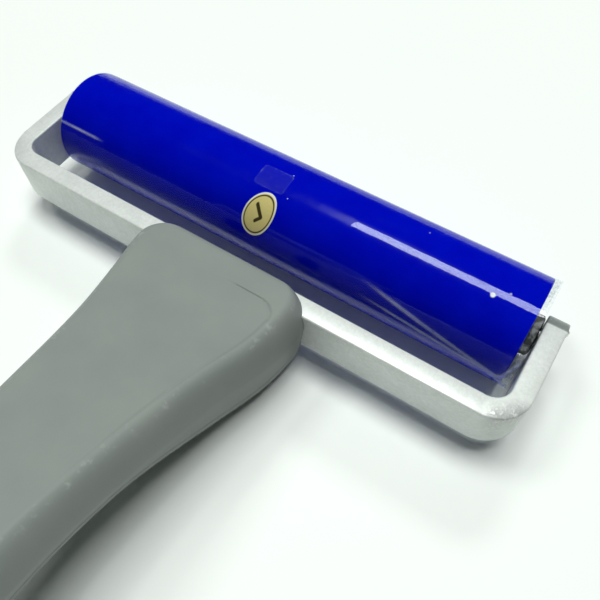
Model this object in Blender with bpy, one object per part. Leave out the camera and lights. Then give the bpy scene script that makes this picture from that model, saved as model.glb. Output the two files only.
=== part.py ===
"""Silicone cleaning roller: a tacky sleeve on two ball bearings, in a U-shaped bracket with a handle.

X runs along the roller, +Y points from the handle to the roller and +Z is up.  The roller and the nose
of the handle stand on the plane z = 0, and the origin lies there, below the middle of the bounding box.
"""
import math

import bmesh
import bpy
from mathutils import Matrix, Vector

MM = 0.001
GAP = 0.3 * MM                 # clearance that neighbouring pieces keep

# Roller: a silicone sleeve on an aluminium core, wrapped in a clear protective film.
SLEEVE_LENGTH = 150.0 * MM
SLEEVE_RADIUS = 15.0 * MM
SLEEVE_WALL = 3.2 * MM
SLEEVE_EDGE = 0.4 * MM
CORE_RADIUS = SLEEVE_RADIUS - SLEEVE_WALL - GAP
CORE_RECESS = 0.5 * MM         # the core ends inside the sleeve's end faces
CORE_WALL = 2.8 * MM
FILM_WALL = 0.35 * MM
FILM_RADIUS = SLEEVE_RADIUS + GAP + FILM_WALL
FILM_OVERHANG = 1.8 * MM       # the film reaches past the sleeve's right end
LABEL_GAP = 0.15 * MM
LABEL_WALL = 0.2 * MM
STICKER_X = -1.2 * MM          # an oval, longest round the roller and slightly slanted
STICKER_ANGLE = 137.4          # degrees round the axle, from +Y toward +Z
STICKER_HALF_LENGTH = 6.5 * MM
STICKER_HALF_WIDTH = 4.6 * MM
STICKER_SLANT = -0.14
TAPE_X = -2.0 * MM
TAPE_ANGLE = 97.0
TAPE_LENGTH = 6.5 * MM
TAPE_WIDTH = 9.5 * MM

# Bracket: a flat bar bent to a U.
BAR_HEIGHT = 15.0 * MM
BAR_THICKNESS = 5.5 * MM
BRACKET_WIDTH = 166.6 * MM
BEND_INSIDE = 4.5 * MM
AXLE_OFFSET = 30.9 * MM        # from the bar's outer face to the axle
ARM_END = 4.9 * MM             # the arms reach past the axle by this much
ARM_CORNER = 4.8 * MM
BAR_EDGE = 0.45 * MM

# Handle: two shells that meet at a seam low on the sides.
HANDLE_LENGTH = 135.0 * MM     # behind the bar's outer face
HANDLE_FRONT = BAR_THICKNESS   # the nose is flush with the bar's inner face
HANDLE_WALL = 2.6 * MM
GRIP_THICKNESS = 22.0 * MM
SHOULDER = 4.9 * MM            # from the edge of the flat top panel out to the widest line
WIDEST_DEPTH = 10.4 * MM       # the widest line runs this far below the top
SIDE_DRAFT = 1.3 * MM
BELLY_ROUNDING = 7.0 * MM
SEAM_SHARE = 0.30              # the seam's height, as a share of the handle's thickness
NOSE_CORNER = 8.0 * MM
NOSE_EDGE = 2.2 * MM
LIP_START = 4.3 * MM           # the top slopes down to the front from here, behind the bar's outer face
LIP_DROP = 2.2 * MM
FLAT_END = 10.0 * MM           # the underside is flat as far back as this
GRIP_START = 60.0 * MM         # and runs level with the top from here
TAIL_CAP = 17.0 * MM
TAIL_SIDE_POWER = 2.4          # the tail's outline seen from above: 2 is an ellipse, more is squarer
TAIL_TOP_POWER = 3.5           # and seen from the side
NOSE_BLOCK = 14.0 * MM         # the nose is solid as far back as this
TAIL_BLOCK = 23.0 * MM         # and so is the tail's end

# Distance behind the bar's outer face, half width, and height of the top above the bar.
HANDLE_STATIONS = (
    (-5.5 * MM, 26.4 * MM, 5.5 * MM),
    (5.0 * MM, 26.4 * MM, 5.5 * MM),
    (15.0 * MM, 24.9 * MM, 5.9 * MM),
    (30.0 * MM, 21.2 * MM, 9.6 * MM),
    (48.0 * MM, 18.3 * MM, 14.3 * MM),
    (75.0 * MM, 15.7 * MM, 20.5 * MM),
    (105.0 * MM, 16.6 * MM, 27.2 * MM),
    (135.0 * MM, 16.4 * MM, 33.5 * MM),
)

# Ball bearings, 6 x 19 x 6 mm.
BEARING_WIDTH = 6.0 * MM
BEARING_BORE = 3.3 * MM        # radii from here on
BEARING_OUTSIDE = 9.5 * MM
BALL_PITCH = 6.25 * MM
BALL_RADIUS = 1.5 * MM
BALL_COUNT = 7
INNER_LAND = 5.0 * MM
OUTER_LAND = 7.5 * MM
CAGE_INSIDE = 5.5 * MM
CAGE_OUTSIDE = 6.95 * MM
CAGE_BACK = 2.15 * MM          # from the bearing's middle to the cage's closed side
CAGE_TIPS = 0.9 * MM           # and to its open side
SHIELD_INSET = 0.2 * MM
SHIELD_WALL = 0.35 * MM
RING_EDGE = 0.4 * MM

# Fasteners.
AXLE_SHANK = 3.0 * MM          # M6 countersunk screw, radii of its shank and head
AXLE_HEAD = 6.0 * MM
AXLE_LENGTH = 19.5 * MM
AXLE_SOCKET = 4.0 * MM         # hexagon socket, across its flats
AXLE_SOCKET_DEPTH = 2.5 * MM
NUT_ACROSS_FLATS = 10.0 * MM
NUT_HEIGHT = 5.0 * MM
NUT_CHAMFER = 0.7 * MM
BRACKET_SHANK = 2.0 * MM       # M4 countersunk screw
BRACKET_HEAD = 4.0 * MM
BRACKET_LENGTH = 16.0 * MM
BRACKET_CROSS = 1.9 * MM       # half width of the cross recess
BRACKET_CROSS_DEPTH = 1.2 * MM
BRACKET_SPACING = 26.0 * MM
COVER_SHANK = 1.5 * MM         # M3 pan-head screw
COVER_HEAD = 2.7 * MM
COVER_HEAD_HEIGHT = 1.9 * MM
COVER_LENGTH = 12.0 * MM
COVER_DOME = 0.5 * MM
COVER_CROSS = 1.5 * MM
COVER_CROSS_DEPTH = 1.0 * MM
COVER_SEAT = 3.5 * MM          # plastic between the seam and the screw's head
COVER_SCREWS = (               # X, and distance behind the bar's outer face
    (-11.0 * MM, 22.0 * MM),
    (11.0 * MM, 22.0 * MM),
    (0.0, 62.0 * MM),
    (0.0, 104.0 * MM),
)
BOSS_RADIUS = 3.6 * MM

# Places that follow from these.
REACH = AXLE_OFFSET + FILM_RADIUS
BAR_Y = (HANDLE_LENGTH - REACH) / 2
AXLE = Vector((0.0, BAR_Y + AXLE_OFFSET, FILM_RADIUS))
BAR_BOTTOM = AXLE.z - BAR_HEIGHT / 2
BAR_TOP = AXLE.z + BAR_HEIGHT / 2
ARM_OUTSIDE = BRACKET_WIDTH / 2
ARM_INSIDE = ARM_OUTSIDE - BAR_THICKNESS
NUT_END = ARM_INSIDE - GAP - NUT_HEIGHT
BEARING_X = NUT_END - GAP - BEARING_WIDTH / 2

ROUND = 64                     # sides of the large round pieces
SMALL_ROUND = 24


# ---------------------------------------------------------------- materials and objects

def material(name, color, roughness, metallic=0.0, alpha=1.0):
    made = bpy.data.materials.new(name)
    made.use_nodes = True
    shader = made.node_tree.nodes["Principled BSDF"]
    shader.inputs["Base Color"].default_value = (*color, 1.0)
    shader.inputs["Roughness"].default_value = roughness
    shader.inputs["Metallic"].default_value = metallic
    shader.inputs["Alpha"].default_value = alpha
    return made


def add_object(name, bm, look, sharp_degrees=30.0):
    """Turn a bmesh into a named object, smooth except along its sharp edges."""
    mesh = bpy.data.meshes.new(name)
    bm.to_mesh(mesh)
    bm.free()
    mesh.shade_smooth()
    mesh.set_sharp_from_angle(angle=math.radians(sharp_degrees))
    mesh.materials.append(look)
    made = bpy.data.objects.new(name, mesh)
    bpy.context.scene.collection.objects.link(made)
    return made


def add_pivot(name, place):
    """An empty on a joint's axis, for the pieces that turn there."""
    pivot = bpy.data.objects.new(name, None)
    pivot.location = place
    bpy.context.scene.collection.objects.link(pivot)
    return pivot


def add_cutter(name, bm):
    mesh = bpy.data.meshes.new(name)
    bm.to_mesh(mesh)
    bm.free()
    cutter = bpy.data.objects.new(name, mesh)
    cutter.hide_render = True
    cutter.display_type = "WIRE"
    bpy.context.scene.collection.objects.link(cutter)
    return cutter


def combine(target, other, operation):
    step = target.modifiers.new(other.name, "BOOLEAN")
    step.operation = operation
    step.solver = "EXACT"
    step.object = other


# ---------------------------------------------------------------- shapes

def turned(profile, sides, closed=True):
    """Solid of revolution about X from (x, radius) points; an open profile starts and ends on the axis."""
    bm = bmesh.new()
    points = [bm.verts.new((x, 0.0, -radius)) for x, radius in profile]
    edges = [bm.edges.new(pair) for pair in zip(points, points[1:])]
    if closed:
        edges.append(bm.edges.new((points[-1], points[0])))
    bmesh.ops.spin(bm, geom=points + edges, cent=(0, 0, 0), axis=(1, 0, 0), angle=2 * math.pi,
                   steps=sides, use_merge=True)
    bmesh.ops.remove_doubles(bm, verts=bm.verts, dist=0.001 * MM)
    bmesh.ops.recalc_face_normals(bm, faces=bm.faces)
    return bm


def loft(rings):
    """Closed solid through rings of equal length, capped at both ends."""
    bm = bmesh.new()
    loops = [[bm.verts.new(point) for point in ring] for ring in rings]
    for first, second in zip(loops, loops[1:]):
        for i, vert in enumerate(first):
            j = (i + 1) % len(first)
            bm.faces.new((vert, first[j], second[j], second[i]))
    bm.faces.new(loops[0][::-1])
    bm.faces.new(loops[-1])
    bmesh.ops.recalc_face_normals(bm, faces=bm.faces)
    return bm


def box(low, high):
    bm = bmesh.new()
    bmesh.ops.create_cube(bm, size=1.0)
    low, high = Vector(low), Vector(high)
    bmesh.ops.scale(bm, vec=high - low, verts=bm.verts)
    bmesh.ops.translate(bm, vec=(low + high) / 2, verts=bm.verts)
    return bm


def countersunk(shank, head, length, grow=0.0):
    """Profile of a countersunk screw along +X, its flat head at x = 0; grow widens it into a hole."""
    cone = head - shank
    return ((0.0 - grow, 0.0), (0.0 - grow, head + grow), (cone + grow, shank + grow),
            (length + grow, shank + grow), (length + grow, 0.0))


def cross_recess(size, depth):
    """A cross-shaped recess for a screwdriver, open toward -X."""
    thin = size / 4
    quarter = ((size, thin), (thin, thin), (thin, size))
    outline = [(y, z) for y, z in quarter]
    outline += [(-z, y) for y, z in quarter]
    outline += [(-y, -z) for y, z in quarter]
    outline += [(z, -y) for y, z in quarter]
    return loft([[Vector((x, y, z)) for y, z in outline] for x in (-depth, depth)])


def facing(direction):
    """Turn that points a piece's own +X along a direction."""
    return Vector(direction).to_track_quat("X", "Z").to_matrix().to_4x4()


def smooth_step(value, low, high):
    share = min(max((value - low) / (high - low), 0.0), 1.0)
    return share * share * (3.0 - 2.0 * share)


def along(stations, column, distance):
    """Smooth curve through one column of the stations."""
    last = len(stations) - 1
    start = 0
    while start < last - 1 and stations[start + 1][0] < distance:
        start += 1

    def slope(i):
        before, after = stations[max(i - 1, 0)], stations[min(i + 1, last)]
        return (after[column] - before[column]) / (after[0] - before[0])

    here, there = stations[start], stations[start + 1]
    span = there[0] - here[0]
    t = (distance - here[0]) / span
    blend = here[column] * (1 + 2 * t) * (1 - t) ** 2 + there[column] * t * t * (3 - 2 * t)
    return blend + span * t * (1 - t) * (slope(start) * (1 - t) - slope(start + 1) * t)


def corner_loss(distance, radius):
    """How far a corner of this radius falls back, at a distance from the face where it ends."""
    into = min(max(1.0 - distance / radius, 0.0), 1.0)
    return radius * (1.0 - math.sqrt(1.0 - into * into))


# ---------------------------------------------------------------- bracket

def bar_ring(centre, outward, half_height):
    """Section of the bar: a rectangle with small bevels, across the direction outward."""
    half = BAR_THICKNESS / 2
    corners = ((half, half_height - BAR_EDGE), (half - BAR_EDGE, half_height),
               (BAR_EDGE - half, half_height), (-half, half_height - BAR_EDGE))
    upper = [(out, up) for out, up in corners]
    section = upper + [(out, -up) for out, up in reversed(upper)]
    return [centre + outward * out + Vector((0, 0, up)) for out, up in section]


def bar_sections():
    """Half of the U, from the right arm's end to the middle of the back."""
    middle = ARM_OUTSIDE - BAR_THICKNESS / 2
    bend = BEND_INSIDE + BAR_THICKNESS / 2
    back_y = BAR_Y + BAR_THICKNESS / 2
    end_y = AXLE.y + ARM_END
    for share in (0.0, 0.06, 0.2, 0.42, 0.7, 1.0):
        back = share * ARM_CORNER
        yield (Vector((middle, end_y - back, AXLE.z)), Vector((1, 0, 0)),
               BAR_HEIGHT / 2 - corner_loss(back, ARM_CORNER))
    turns = 8
    for turn in range(turns + 1):
        angle = math.radians(90.0) * turn / turns
        outward = Vector((math.cos(angle), -math.sin(angle), 0))
        centre = Vector((middle - bend, back_y + bend, AXLE.z)) + outward * bend
        yield centre, outward, BAR_HEIGHT / 2
    yield Vector((0, back_y, AXLE.z)), Vector((0, -1, 0)), BAR_HEIGHT / 2


def build_bracket(look, axle_holes, screw_holes):
    half = [bar_ring(*section) for section in bar_sections()]
    mirror = Matrix.Scale(-1, 4, (1, 0, 0))
    other = [[mirror @ point for point in ring] for ring in reversed(half[:-1])]
    bracket = add_object("frame_bracket", loft(half + other), look)
    for hole in axle_holes + screw_holes:
        combine(bracket, hole, "DIFFERENCE")


# ---------------------------------------------------------------- handle

def handle_y(behind):
    return BAR_Y - behind


def top_height(behind):
    return BAR_TOP + along(HANDLE_STATIONS, 2, behind)


def underside_height(behind):
    return (top_height(behind) - GRIP_THICKNESS) * smooth_step(behind, FLAT_END, GRIP_START)


def seam_height(behind):
    low = underside_height(behind)
    return low + SEAM_SHARE * (top_height(behind) - low)


def lip_drop(behind):
    """The top falls away in front of the panel, and round the nose's front edge."""
    from_front = behind + HANDLE_FRONT
    share = max(1.0 - from_front / (LIP_START + HANDLE_FRONT), 0.0)
    return LIP_DROP * share * share + corner_loss(from_front, NOSE_EDGE)


def tail_shrink(behind, power):
    """Share of the full section that is left inside the rounded tail."""
    into = max(1.0 - (HANDLE_LENGTH - behind) / TAIL_CAP, 0.0)
    return (1.0 - into ** power) ** (1.0 / power)


def handle_half(behind, inset, upper):
    """Points (x, z) of half a section, from the middle out to the seam."""
    top = top_height(behind) - inset
    low = underside_height(behind) + inset
    seam = seam_height(behind)
    widest = along(HANDLE_STATIONS, 1, behind) - inset - corner_loss(behind + HANDLE_FRONT, NOSE_CORNER)
    at_seam = widest - SIDE_DRAFT
    arcs = 5
    turns = [math.radians(90.0) * i / arcs for i in range(arcs + 1)]
    if upper:
        panel = widest - SHOULDER
        level = top + inset - WIDEST_DEPTH
        crest = top - lip_drop(behind)
        points = [(0.0, crest)]
        points += [(panel + SHOULDER * math.sin(turn), level + (crest - level) * math.cos(turn))
                   for turn in turns]
        points.append((at_seam, seam))
    else:
        floor = low + corner_loss(behind + HANDLE_FRONT, NOSE_EDGE)
        flat = at_seam - BELLY_ROUNDING
        points = [(0.0, floor)]
        points += [(flat + BELLY_ROUNDING * math.sin(turn), seam - (seam - floor) * math.cos(turn))
                   for turn in turns]
    centre = (top_height(behind) + underside_height(behind)) / 2
    narrow, flatten = tail_shrink(behind, TAIL_SIDE_POWER), tail_shrink(behind, TAIL_TOP_POWER)
    return [(x * narrow, centre + (z - centre) * flatten) for x, z in points]


def handle_ring(behind, inset, upper, past_seam):
    """One closed section of a shell, or of the hollow inside it."""
    half = handle_half(behind, inset, upper)
    x, z = half[-1]
    half[-1] = (x, z - past_seam if upper else z + past_seam)
    y = handle_y(behind)
    right = [Vector((x, y, z)) for x, z in half]
    left = [Vector((-x, y, z)) for x, z in half[:0:-1]]
    return right + left


def stations_between(start, end, longest):
    count = math.ceil((end - start) / longest)
    return [start + (end - start) * i / count for i in range(count + 1)]


def shell_solid(upper):
    """The shell before it is hollowed; its sections crowd together where the two ends curve most."""
    front = [-HANDLE_FRONT + NOSE_CORNER * share for share in (0.0, 0.03, 0.1, 0.2, 0.33, 0.53, 0.78)]
    body = stations_between(LIP_START, HANDLE_LENGTH - TAIL_CAP, 7.0 * MM)
    tail = [HANDLE_LENGTH - TAIL_CAP * share for share in (0.75, 0.5, 0.3, 0.15, 0.06, 0.015, 0.002)]
    return loft([handle_ring(behind, 0.0, upper, -GAP / 2) for behind in front + body + tail])


def shell_hollow(upper):
    inside = stations_between(NOSE_BLOCK, HANDLE_LENGTH - TAIL_BLOCK, 8.0 * MM)
    return loft([handle_ring(behind, HANDLE_WALL, upper, 1.0 * MM) for behind in inside])


def boss(name, x, behind, low, high):
    """A screw boss along Z between two heights."""
    post = turned(((0.0, 0.0), (0.0, BOSS_RADIUS), (high - low, BOSS_RADIUS), (high - low, 0.0)),
                  SMALL_ROUND, closed=False)
    post.transform(Matrix.Translation((x, handle_y(behind), low)) @ facing((0, 0, 1)))
    return add_cutter(name, post)


def build_handle(look, screw_holes):
    slot = add_cutter("bar_slot", box(
        (-2 * ARM_OUTSIDE, BAR_Y - GAP, BAR_BOTTOM - GAP),
        (2 * ARM_OUTSIDE, BAR_Y + 2 * BAR_THICKNESS, BAR_TOP + GAP)))
    holes = cover_holes()
    for name, upper in (("handle_upper_shell", True), ("handle_lower_shell", False)):
        shell = add_object(name, shell_solid(upper), look)
        combine(shell, add_cutter(name + "_hollow", shell_hollow(upper)), "DIFFERENCE")
        for i, (x, behind) in enumerate(COVER_SCREWS):
            seam = seam_height(behind)
            if upper:
                post = boss(f"upper_boss_{i + 1}", x, behind, seam + GAP / 2,
                            top_height(behind) - HANDLE_WALL / 2)
            else:
                post = boss(f"lower_boss_{i + 1}", x, behind,
                            underside_height(behind) + HANDLE_WALL / 2, seam - GAP / 2)
            combine(shell, post, "UNION")
        cutters = holes + [slot]
        if upper:
            cutters += screw_holes
        for cutter in cutters:
            combine(shell, cutter, "DIFFERENCE")


# ---------------------------------------------------------------- roller

def build_sleeve(look, pivot):
    half = SLEEVE_LENGTH / 2
    inside = SLEEVE_RADIUS - SLEEVE_WALL
    profile = ((-half, inside), (-half, SLEEVE_RADIUS - SLEEVE_EDGE), (SLEEVE_EDGE - half, SLEEVE_RADIUS),
               (half - SLEEVE_EDGE, SLEEVE_RADIUS), (half, SLEEVE_RADIUS - SLEEVE_EDGE), (half, inside))
    add_object("silicone_sleeve", turned(profile, ROUND), look).parent = pivot


def build_core(look, pivot):
    end = SLEEVE_LENGTH / 2 - CORE_RECESS
    seat = BEARING_X - BEARING_WIDTH / 2 - GAP
    bore = BEARING_OUTSIDE + GAP
    narrow = CORE_RADIUS - CORE_WALL
    profile = ((-end, CORE_RADIUS), (end, CORE_RADIUS), (end, bore), (seat, bore), (seat, narrow),
               (-seat, narrow), (-seat, bore), (-end, bore))
    add_object("core_tube", turned(profile, ROUND), look).parent = pivot


def build_film(look, pivot):
    left, right = -SLEEVE_LENGTH / 2, SLEEVE_LENGTH / 2 + FILM_OVERHANG
    inside = FILM_RADIUS - FILM_WALL
    profile = ((left, inside), (left, FILM_RADIUS), (right, FILM_RADIUS), (right, inside))
    add_object("protective_film", turned(profile, ROUND), look).parent = pivot


def wrapped_label(name, rows, centre_x, centre_angle, look, pivot):
    """A thin label on the film, from rows of (arc length, left edge, right edge)."""
    inside = FILM_RADIUS + LABEL_GAP
    outside = inside + LABEL_WALL
    rings = []
    for arc, left, right in rows:
        angle = centre_angle + arc / FILM_RADIUS
        across = Vector((0, math.cos(angle), math.sin(angle)))
        rings.append([Vector((centre_x + left, 0, 0)) + across * outside,
                      Vector((centre_x + right, 0, 0)) + across * outside,
                      Vector((centre_x + right, 0, 0)) + across * inside,
                      Vector((centre_x + left, 0, 0)) + across * inside])
    add_object(name, loft(rings), look).parent = pivot


def build_labels(paper, tape, pivot):
    oval, count = [], 16
    for i in range(count + 1):
        turn = math.radians(175.0) * (i / count - 0.5)
        arc = STICKER_HALF_LENGTH * math.sin(turn)
        half = STICKER_HALF_WIDTH * math.cos(turn)
        oval.append((arc, STICKER_SLANT * arc - half, STICKER_SLANT * arc + half))
    wrapped_label("inspection_sticker", oval, STICKER_X, math.radians(STICKER_ANGLE), paper, pivot)

    count = 6
    strip = [(TAPE_LENGTH * (i / count - 0.5), -TAPE_WIDTH / 2, TAPE_WIDTH / 2) for i in range(count + 1)]
    wrapped_label("film_tape", strip, TAPE_X, math.radians(TAPE_ANGLE), tape, pivot)


# ---------------------------------------------------------------- bearings

def groove(land, inward):
    """Points of a ball groove in a ring: inward is -1 for the outer ring and 1 for the inner one."""
    radius = BALL_RADIUS + GAP
    reach = math.acos(abs(land - BALL_PITCH) / radius)
    turns = (-1.0, -0.5, 0.0, 0.5, 1.0)
    return [(radius * math.sin(reach * turn), BALL_PITCH - inward * radius * math.cos(reach * turn))
            for turn in turns]


def outer_ring():
    half = BEARING_WIDTH / 2
    outline = [(-half, OUTER_LAND)] + groove(OUTER_LAND, -1) + [(half, OUTER_LAND)]
    outline += [(half, BEARING_OUTSIDE - RING_EDGE), (half - RING_EDGE, BEARING_OUTSIDE),
                (RING_EDGE - half, BEARING_OUTSIDE), (-half, BEARING_OUTSIDE - RING_EDGE)]
    return turned(outline, SMALL_ROUND)


def inner_ring():
    half = BEARING_WIDTH / 2
    outline = [(-half, INNER_LAND)] + groove(INNER_LAND, 1) + [(half, INNER_LAND)]
    outline += [(half, BEARING_BORE), (-half, BEARING_BORE)]
    return turned(outline, SMALL_ROUND)


def shield(side):
    inside, outside = INNER_LAND + GAP, OUTER_LAND - GAP
    far = side * (BEARING_WIDTH / 2 - SHIELD_INSET)
    near = far - side * SHIELD_WALL
    return turned(((near, inside), (near, outside), (far, outside), (far, inside)), SMALL_ROUND)


def crown():
    """The cage before its pockets are cut, its closed side toward -X."""
    return turned(((-CAGE_BACK, CAGE_INSIDE), (-CAGE_BACK, CAGE_OUTSIDE), (CAGE_TIPS, CAGE_OUTSIDE),
                   (CAGE_TIPS, CAGE_INSIDE)), 4 * BALL_COUNT)


def ball_places():
    for i in range(BALL_COUNT):
        angle = 2 * math.pi * i / BALL_COUNT
        yield angle, Vector((0, math.cos(angle), math.sin(angle))) * BALL_PITCH


def pockets():
    """Seven radial pegs, one for each ball's pocket in the cage."""
    bm = bmesh.new()
    for angle, place in ball_places():
        stand = Matrix.Rotation(angle - math.radians(90), 4, "X")
        bmesh.ops.create_cone(bm, cap_ends=True, segments=12, radius1=BALL_RADIUS + GAP,
                              radius2=BALL_RADIUS + GAP, depth=2 * BALL_RADIUS,
                              matrix=Matrix.Translation(place) @ stand)
    return bm


def build_bearing(side_name, side, roller, steel, shield_look, cage_look):
    """One bearing; its outer ring and shields turn with the roller, its balls at their own pace."""
    place = Vector((side * BEARING_X, 0, 0))
    pieces = (("outer_ring", outer_ring(), steel), ("shield_outer", shield(side), shield_look),
              ("shield_inner", shield(-side), shield_look))
    for name, bm, look in pieces:
        made = add_object(f"bearing_{side_name}_{name}", bm, look)
        made.parent = roller
        made.location = place

    fixed = add_object(f"bearing_{side_name}_inner_ring", inner_ring(), steel)
    fixed.location = AXLE + place

    train = add_pivot(f"ball_train_{side_name}", AXLE + place)
    cage_mesh = crown()
    if side < 0:
        cage_mesh.transform(Matrix.Rotation(math.pi, 4, "Z"))
    cage = add_object(f"bearing_{side_name}_cage", cage_mesh, cage_look)
    cage.parent = train
    pegs = add_cutter(f"pockets_{side_name}", pockets())
    pegs.parent = train
    combine(cage, pegs, "DIFFERENCE")
    for i, (_, at) in enumerate(ball_places()):
        bm = bmesh.new()
        bmesh.ops.create_uvsphere(bm, u_segments=10, v_segments=6, radius=BALL_RADIUS)
        ball = add_object(f"bearing_{side_name}_ball_{i + 1}", bm, steel, sharp_degrees=90.0)
        ball.parent = train
        ball.location = at


# ---------------------------------------------------------------- fasteners

def screw(name, profile, direction, place, recess, look):
    turn = Matrix.Translation(place) @ facing(direction)
    body = turned(profile, SMALL_ROUND, closed=False)
    body.transform(turn)
    made = add_object(name, body, look)
    recess.transform(turn)
    combine(made, add_cutter(name + "_recess", recess), "DIFFERENCE")


def hex_prism(across_flats, length):
    """A hexagonal prism along X, centred on the origin, with two flats facing up and down."""
    bm = bmesh.new()
    radius = across_flats / math.sqrt(3.0)
    bmesh.ops.create_cone(bm, cap_ends=True, segments=6, radius1=radius, radius2=radius, depth=length,
                          matrix=Matrix.Rotation(math.radians(90), 4, "Y"))
    bmesh.ops.rotate(bm, cent=(0, 0, 0), matrix=Matrix.Rotation(math.radians(30), 3, "X"), verts=bm.verts)
    return bm


def axle_holes():
    """Countersunk holes through the two arms."""
    holes = []
    for side_name, side in (("left", -1), ("right", 1)):
        hole = turned(countersunk(AXLE_SHANK, AXLE_HEAD, AXLE_LENGTH, GAP), SMALL_ROUND, closed=False)
        place = Vector((side * ARM_OUTSIDE, AXLE.y, AXLE.z))
        hole.transform(Matrix.Translation(place) @ facing((-side, 0, 0)))
        holes.append(add_cutter(f"axle_hole_{side_name}", hole))
    return holes


def build_axle(screw_look, nut_look):
    for side_name, side in (("left", -1), ("right", 1)):
        place = Vector((side * ARM_OUTSIDE, AXLE.y, AXLE.z))
        recess = hex_prism(AXLE_SOCKET, 2 * AXLE_SOCKET_DEPTH)
        screw(f"axle_screw_{side_name}", countersunk(AXLE_SHANK, AXLE_HEAD, AXLE_LENGTH),
              (-side, 0, 0), place, recess, screw_look)
        build_nut(side_name, side, nut_look)


def build_nut(side_name, side, look):
    middle = Vector((side * (NUT_END + NUT_HEIGHT / 2), AXLE.y, AXLE.z))
    half, flat = NUT_HEIGHT / 2, NUT_ACROSS_FLATS / 2
    tip = NUT_ACROSS_FLATS / math.sqrt(3.0) + NUT_CHAMFER / 2
    name = f"hex_nut_{side_name}"
    body = hex_prism(NUT_ACROSS_FLATS, NUT_HEIGHT)
    body.transform(Matrix.Translation(middle))
    made = add_object(name, body, look, sharp_degrees=20.0)
    chamfer = turned(((-half, 0.0), (-half, flat), (NUT_CHAMFER - half, tip), (half - NUT_CHAMFER, tip),
                      (half, flat), (half, 0.0)), SMALL_ROUND, closed=False)
    chamfer.transform(Matrix.Translation(middle))
    combine(made, add_cutter(name + "_chamfer", chamfer), "INTERSECT")
    radius = AXLE_SHANK + GAP
    bore = turned(((-NUT_HEIGHT, 0.0), (-NUT_HEIGHT, radius), (NUT_HEIGHT, radius), (NUT_HEIGHT, 0.0)),
                  SMALL_ROUND, closed=False)
    bore.transform(Matrix.Translation(middle))
    combine(made, add_cutter(name + "_bore", bore), "DIFFERENCE")


def bracket_screw_places():
    for side_name, side in (("left", -1), ("right", 1)):
        yield side_name, Vector((side * BRACKET_SPACING / 2, BAR_Y + BAR_THICKNESS, AXLE.z))


def bracket_screw_holes():
    """Countersunk holes from the bar's roller side into the nose of the handle."""
    holes = []
    for side_name, place in bracket_screw_places():
        hole = turned(countersunk(BRACKET_SHANK, BRACKET_HEAD, BRACKET_LENGTH, GAP), SMALL_ROUND,
                      closed=False)
        hole.transform(Matrix.Translation(place) @ facing((0, -1, 0)))
        holes.append(add_cutter(f"bracket_screw_hole_{side_name}", hole))
    return holes


def build_bracket_screws(look):
    for side_name, place in bracket_screw_places():
        screw(f"bracket_screw_{side_name}", countersunk(BRACKET_SHANK, BRACKET_HEAD, BRACKET_LENGTH),
              (0, -1, 0), place, cross_recess(BRACKET_CROSS, BRACKET_CROSS_DEPTH), look)


def cover_screw_seat(x, behind):
    return Vector((x, handle_y(behind), seam_height(behind) - COVER_SEAT))


def cover_holes():
    """Stepped holes from below, for the head and the shank of each cover screw."""
    wide, narrow = COVER_HEAD + 2 * GAP, COVER_SHANK + GAP
    holes = []
    for i, (x, behind) in enumerate(COVER_SCREWS):
        seat = cover_screw_seat(x, behind)
        deep, top = -seat.z - MM, COVER_LENGTH + GAP
        hole = turned(((deep, 0.0), (deep, wide), (0.0, wide), (0.0, narrow), (top, narrow), (top, 0.0)),
                      SMALL_ROUND, closed=False)
        hole.transform(Matrix.Translation(seat) @ facing((0, 0, 1)))
        holes.append(add_cutter(f"cover_screw_hole_{i + 1}", hole))
    return holes


def build_cover_screws(look):
    head = COVER_HEAD_HEIGHT
    profile = ((-head, 0.0), (-head, COVER_HEAD - COVER_DOME), (COVER_DOME - head, COVER_HEAD),
               (0.0, COVER_HEAD), (0.0, COVER_SHANK), (COVER_LENGTH, COVER_SHANK), (COVER_LENGTH, 0.0))
    for i, (x, behind) in enumerate(COVER_SCREWS):
        place = cover_screw_seat(x, behind) - Vector((0, 0, GAP))
        recess = cross_recess(COVER_CROSS, COVER_CROSS_DEPTH)
        recess.transform(Matrix.Translation((-head, 0, 0)))
        screw(f"cover_screw_{i + 1}", profile, (0, 0, 1), place, recess, look)


# ---------------------------------------------------------------- the whole roller

def build_roller():
    for old in list(bpy.data.objects):
        bpy.data.objects.remove(old, do_unlink=True)

    aluminium = material("satin_aluminium", (0.72, 0.74, 0.74), 0.38, 1.0)
    core_metal = material("turned_aluminium", (0.62, 0.63, 0.64), 0.32, 1.0)
    plastic = material("grey_plastic", (0.26, 0.28, 0.26), 0.5)
    silicone = material("blue_silicone", (0.0, 0.003, 0.33), 0.35)
    film = material("clear_film", (0.95, 0.96, 1.0), 0.08, alpha=0.15)
    tape = material("clear_tape", (0.9, 0.9, 0.95), 0.2, alpha=0.3)
    paper = material("gold_paper", (0.68, 0.55, 0.22), 0.35, 0.3)
    bearing_steel = material("bearing_steel", (0.56, 0.56, 0.58), 0.2, 1.0)
    shield_steel = material("pressed_steel", (0.5, 0.5, 0.5), 0.35, 1.0)
    nylon = material("cage_nylon", (0.75, 0.72, 0.6), 0.5)
    bright_steel = material("zinc_steel", (0.6, 0.6, 0.6), 0.3, 1.0)
    black_steel = material("blackened_steel", (0.06, 0.065, 0.065), 0.3, 1.0)

    screw_holes = bracket_screw_holes()
    build_bracket(aluminium, axle_holes(), screw_holes)
    build_handle(plastic, screw_holes)
    build_bracket_screws(bright_steel)
    build_cover_screws(black_steel)
    build_axle(bright_steel, black_steel)

    roller = add_pivot("roller_axis", AXLE)
    build_core(core_metal, roller)
    build_sleeve(silicone, roller)
    build_film(film, roller)
    build_labels(paper, tape, roller)
    for side_name, side in (("left", -1), ("right", 1)):
        build_bearing(side_name, side, roller, bearing_steel, shield_steel, nylon)


build_roller()
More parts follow.
